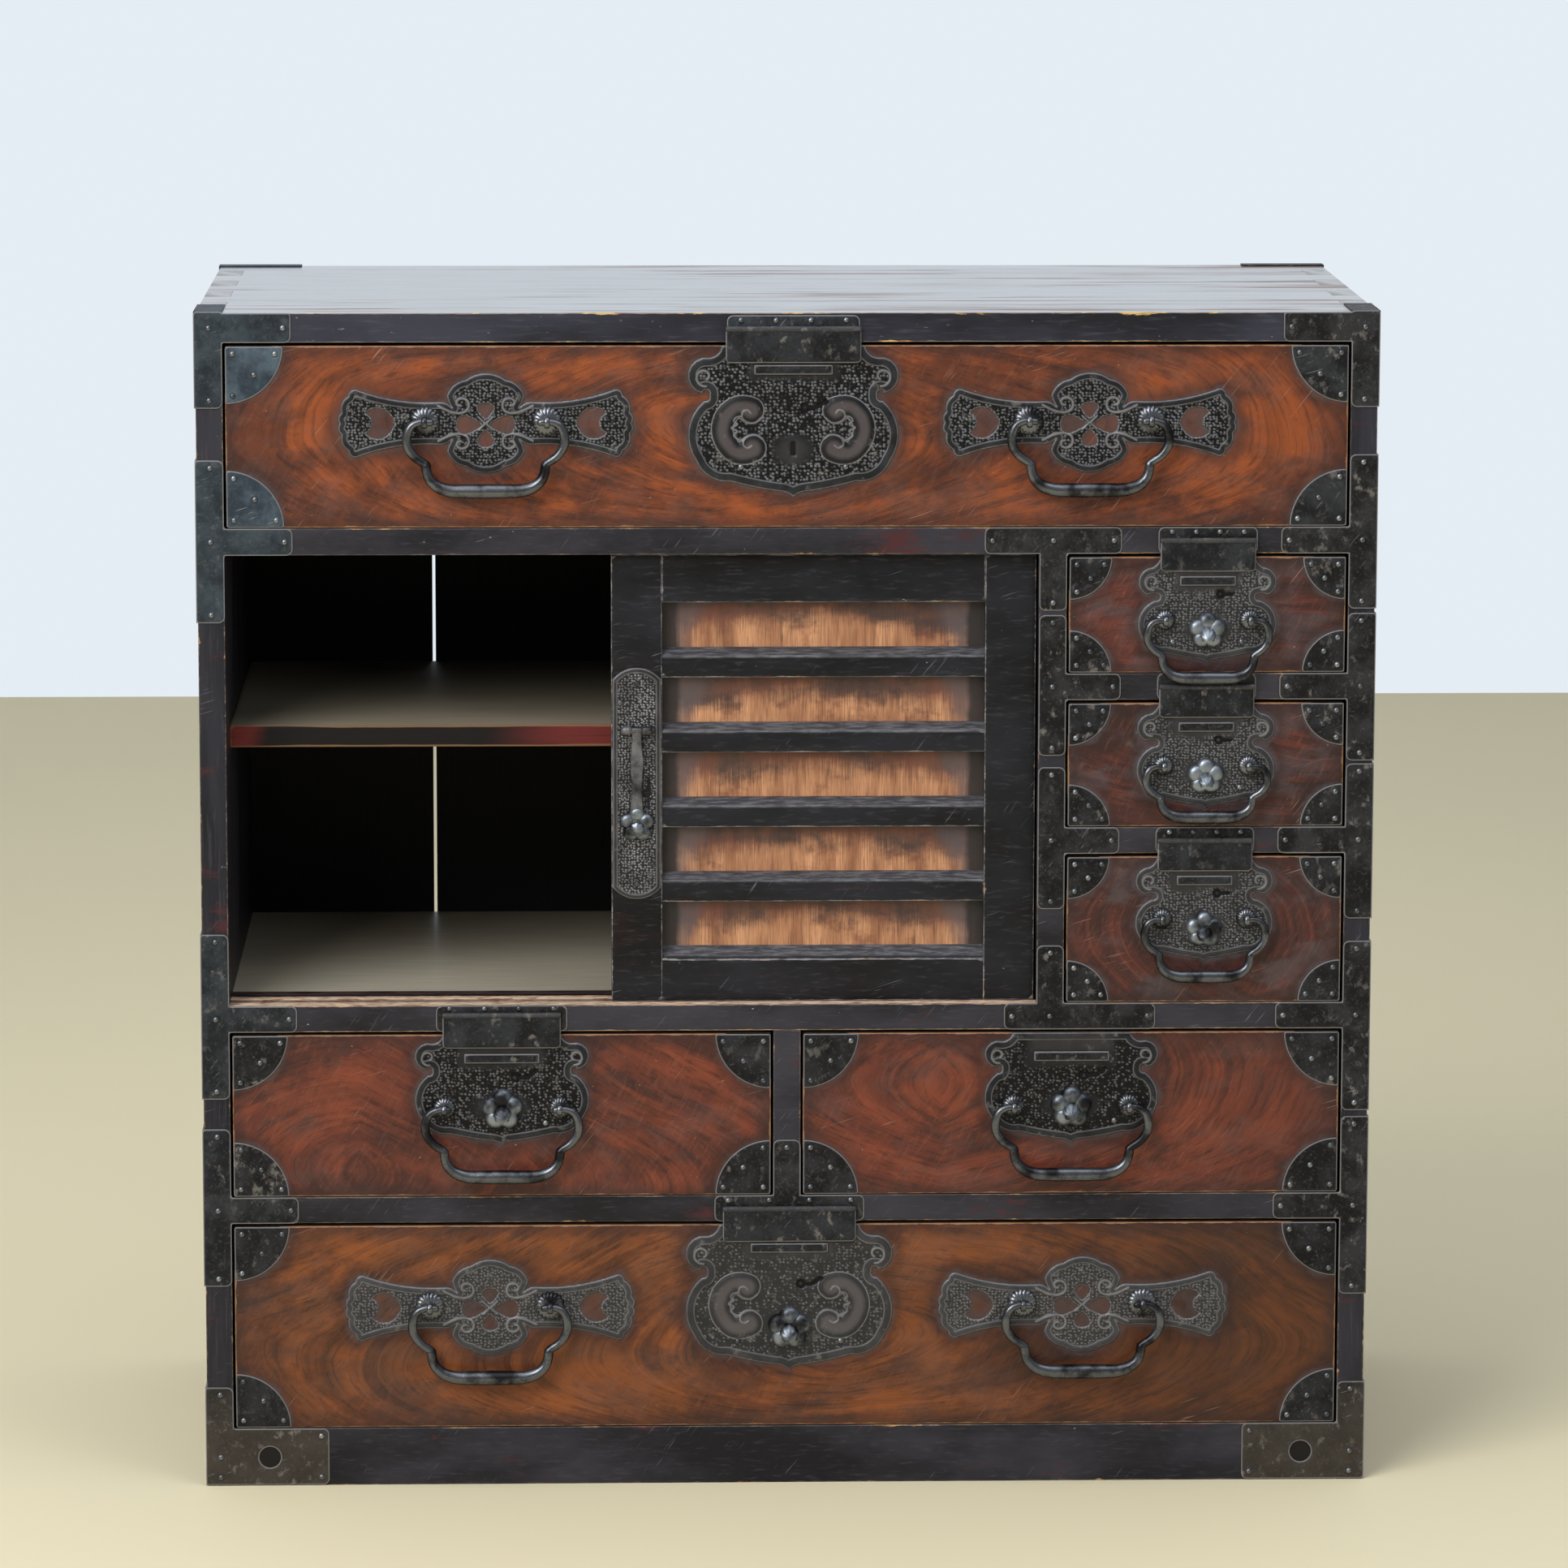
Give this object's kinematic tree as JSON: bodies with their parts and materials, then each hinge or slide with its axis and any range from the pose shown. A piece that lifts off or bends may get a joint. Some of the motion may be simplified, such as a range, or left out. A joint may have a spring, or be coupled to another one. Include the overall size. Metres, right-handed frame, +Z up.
{
  "type": "clothing chest",
  "caption": "Lacquered wood clothing chest with wrought iron mounts, wide and small drawers on bail handles and a cupboard behind sliding doors",
  "frame": {"origin": "on the floor under the middle of the carcass, on the underside of the centre batten", "axes": "X to the right seen from the front, Y to the back, Z up"},
  "size_m": [0.9024, 0.4382, 0.9152],
  "materials": {
    "frame_lacquer": "black lacquer on softwood, satin, worn to brown at the edges",
    "top_lacquer": "grey worn lacquer with brown streaks",
    "shelf_lacquer": "thin dull lacquer, reddish front edge",
    "inner_wood": "bare light softwood, aged",
    "front_wood": "orange-brown hardwood with clear lacquer and sweeping grain",
    "small_front_wood": "dark red-brown hardwood with clear lacquer",
    "door_lacquer": "black lacquer, satin",
    "door_panel_wood": "orange-tan wood with fine upright grain",
    "black_iron": "black wrought iron, hammered, with rust spots",
    "worn_iron": "wrought iron worn bright on its high places"
  },
  "bodies": {
    "carcass": {"left_side": "frame_lacquer", "right_side": "frame_lacquer", "top_board": "top_lacquer", "bottom_board": "inner_wood", "back_boards": "inner_wood", "base_rails": "frame_lacquer", "upper_board": "frame_lacquer", "middle_board": "frame_lacquer", "lower_board": "frame_lacquer", "upright_dividers": "frame_lacquer", "small_drawer_boards": "frame_lacquer", "cupboard_shelf": "shelf_lacquer", "frame_ironwork": "black_iron"},
    "top_drawer": {"top_drawer_front": "front_wood", "top_drawer_box": "inner_wood", "top_drawer_ironwork": "black_iron"},
    "top_left_bail": {"top_left_bail": "worn_iron"},
    "top_right_bail": {"top_right_bail": "worn_iron"},
    "top_hasp": {"top_hasp": "black_iron"},
    "left_drawer": {"left_drawer_front": "front_wood", "left_drawer_box": "inner_wood", "left_drawer_ironwork": "black_iron"},
    "left_drawer_bail": {"left_drawer_bail": "worn_iron"},
    "left_drawer_hasp": {"left_drawer_hasp": "black_iron"},
    "left_lock_knob": {"left_lock_knob": "worn_iron"},
    "right_drawer": {"right_drawer_front": "front_wood", "right_drawer_box": "inner_wood", "right_drawer_ironwork": "black_iron"},
    "right_drawer_bail": {"right_drawer_bail": "worn_iron"},
    "right_lock_knob": {"right_lock_knob": "worn_iron"},
    "bottom_drawer": {"bottom_drawer_front": "front_wood", "bottom_drawer_box": "inner_wood", "bottom_drawer_ironwork": "black_iron"},
    "bottom_left_bail": {"bottom_left_bail": "worn_iron"},
    "bottom_right_bail": {"bottom_right_bail": "worn_iron"},
    "bottom_hasp": {"bottom_hasp": "black_iron"},
    "bottom_lock_knob": {"bottom_lock_knob": "worn_iron"},
    "small_drawer_1": {"small_drawer_1_front": "small_front_wood", "small_drawer_1_box": "inner_wood", "small_drawer_1_ironwork": "black_iron"},
    "small_bail_1": {"small_bail_1": "worn_iron"},
    "small_hasp_1": {"small_hasp_1": "black_iron"},
    "small_lock_knob_1": {"small_lock_knob_1": "worn_iron"},
    "small_drawer_2": {"small_drawer_2_front": "small_front_wood", "small_drawer_2_box": "inner_wood", "small_drawer_2_ironwork": "black_iron"},
    "small_bail_2": {"small_bail_2": "worn_iron"},
    "small_hasp_2": {"small_hasp_2": "black_iron"},
    "small_lock_knob_2": {"small_lock_knob_2": "worn_iron"},
    "small_drawer_3": {"small_drawer_3_front": "small_front_wood", "small_drawer_3_box": "inner_wood", "small_drawer_3_ironwork": "black_iron"},
    "small_bail_3": {"small_bail_3": "worn_iron"},
    "small_hasp_3": {"small_hasp_3": "black_iron"},
    "small_lock_knob_3": {"small_lock_knob_3": "worn_iron"},
    "right_door": {"right_door_frame": "door_lacquer", "right_door_panel": "door_panel_wood", "right_door_lock_plate": "black_iron"},
    "left_door": {"left_door": "door_lacquer"},
    "right_door_pull": {"right_door_pull": "worn_iron"}
  },
  "joints": [
    {"name": "top_drawer_slide", "type": "slide", "parent": "carcass", "child": "top_drawer", "axis": [0, -1, 0], "range_m": [0, 0.3]},
    {"name": "top_left_bail_swing", "type": "hinge", "parent": "top_drawer", "child": "top_left_bail", "pos_m": [-0.23, -0.2205, 0.8315], "axis": [-1, 0, 0], "range_deg": [0, 100]},
    {"name": "top_right_bail_swing", "type": "hinge", "parent": "top_drawer", "child": "top_right_bail", "pos_m": [0.23, -0.2205, 0.8315], "axis": [-1, 0, 0], "range_deg": [0, 100]},
    {"name": "top_hasp_lift", "type": "hinge", "parent": "top_drawer", "child": "top_hasp", "pos_m": [0.004, -0.2139, 0.9017], "axis": [-1, 0, 0], "range_deg": [0, 165]},
    {"name": "left_drawer_slide", "type": "slide", "parent": "carcass", "child": "left_drawer", "axis": [0, -1, 0], "range_m": [0, 0.3]},
    {"name": "left_drawer_bail_swing", "type": "hinge", "parent": "left_drawer", "child": "left_drawer_bail", "pos_m": [-0.22, -0.2205, 0.299], "axis": [-1, 0, 0], "range_deg": [0, 100]},
    {"name": "left_drawer_hasp_lift", "type": "hinge", "parent": "left_drawer", "child": "left_drawer_hasp", "pos_m": [-0.22, -0.2139, 0.3722], "axis": [-1, 0, 0], "range_deg": [0, 100]},
    {"name": "left_lock_knob_slide", "type": "slide", "parent": "left_drawer", "child": "left_lock_knob", "axis": [0, 0, 1], "range_m": [0, 0.007]},
    {"name": "right_drawer_slide", "type": "slide", "parent": "carcass", "child": "right_drawer", "axis": [0, -1, 0], "range_m": [0, 0.3]},
    {"name": "right_drawer_bail_swing", "type": "hinge", "parent": "right_drawer", "child": "right_drawer_bail", "pos_m": [0.22, -0.2205, 0.299], "axis": [-1, 0, 0], "range_deg": [0, 100]},
    {"name": "right_lock_knob_slide", "type": "slide", "parent": "right_drawer", "child": "right_lock_knob", "axis": [0, 0, 1], "range_m": [0, 0.007]},
    {"name": "bottom_drawer_slide", "type": "slide", "parent": "carcass", "child": "bottom_drawer", "axis": [0, -1, 0], "range_m": [0, 0.3]},
    {"name": "bottom_left_bail_swing", "type": "hinge", "parent": "bottom_drawer", "child": "bottom_left_bail", "pos_m": [-0.23, -0.2205, 0.1425], "axis": [-1, 0, 0], "range_deg": [0, 100]},
    {"name": "bottom_right_bail_swing", "type": "hinge", "parent": "bottom_drawer", "child": "bottom_right_bail", "pos_m": [0.23, -0.2205, 0.1425], "axis": [-1, 0, 0], "range_deg": [0, 100]},
    {"name": "bottom_hasp_lift", "type": "hinge", "parent": "bottom_drawer", "child": "bottom_hasp", "pos_m": [0.002, -0.2139, 0.2187], "axis": [-1, 0, 0], "range_deg": [0, 100]},
    {"name": "bottom_lock_knob_slide", "type": "slide", "parent": "bottom_drawer", "child": "bottom_lock_knob", "axis": [0, 0, 1], "range_m": [0, 0.007]},
    {"name": "small_drawer_1_slide", "type": "slide", "parent": "carcass", "child": "small_drawer_1", "axis": [0, -1, 0], "range_m": [0, 0.3]},
    {"name": "small_bail_1_swing", "type": "hinge", "parent": "small_drawer_1", "child": "small_bail_1", "pos_m": [0.3215, -0.2195, 0.678], "axis": [-1, 0, 0], "range_deg": [0, 100]},
    {"name": "small_hasp_1_lift", "type": "hinge", "parent": "small_drawer_1", "child": "small_hasp_1", "pos_m": [0.3215, -0.2139, 0.7393], "axis": [-1, 0, 0], "range_deg": [0, 100]},
    {"name": "small_lock_knob_1_slide", "type": "slide", "parent": "small_drawer_1", "child": "small_lock_knob_1", "axis": [0, 0, 1], "range_m": [0, 0.007]},
    {"name": "small_drawer_2_slide", "type": "slide", "parent": "carcass", "child": "small_drawer_2", "axis": [0, -1, 0], "range_m": [0, 0.3]},
    {"name": "small_bail_2_swing", "type": "hinge", "parent": "small_drawer_2", "child": "small_bail_2", "pos_m": [0.3215, -0.2195, 0.565], "axis": [-1, 0, 0], "range_deg": [0, 100]},
    {"name": "small_hasp_2_lift", "type": "hinge", "parent": "small_drawer_2", "child": "small_hasp_2", "pos_m": [0.3215, -0.2139, 0.6263], "axis": [-1, 0, 0], "range_deg": [0, 80]},
    {"name": "small_lock_knob_2_slide", "type": "slide", "parent": "small_drawer_2", "child": "small_lock_knob_2", "axis": [0, 0, 1], "range_m": [0, 0.007]},
    {"name": "small_drawer_3_slide", "type": "slide", "parent": "carcass", "child": "small_drawer_3", "axis": [0, -1, 0], "range_m": [0, 0.3]},
    {"name": "small_bail_3_swing", "type": "hinge", "parent": "small_drawer_3", "child": "small_bail_3", "pos_m": [0.3215, -0.2195, 0.4455], "axis": [-1, 0, 0], "range_deg": [0, 100]},
    {"name": "small_hasp_3_lift", "type": "hinge", "parent": "small_drawer_3", "child": "small_hasp_3", "pos_m": [0.3215, -0.2139, 0.5068], "axis": [-1, 0, 0], "range_deg": [0, 80]},
    {"name": "small_lock_knob_3_slide", "type": "slide", "parent": "small_drawer_3", "child": "small_lock_knob_3", "axis": [0, 0, 1], "range_m": [0, 0.007]},
    {"name": "right_door_slide", "type": "slide", "parent": "carcass", "child": "right_door", "axis": [-1, 0, 0], "range_m": [0, 0.293]},
    {"name": "left_door_slide", "type": "slide", "parent": "carcass", "child": "left_door", "axis": [-1, 0, 0], "range_m": [0, 0.293]},
    {"name": "right_door_pull_swing", "type": "hinge", "parent": "right_door", "child": "right_door_pull", "pos_m": [-0.1155, -0.203, 0.5922], "axis": [-1, 0, 0], "range_deg": [0, 90]}
  ]
}
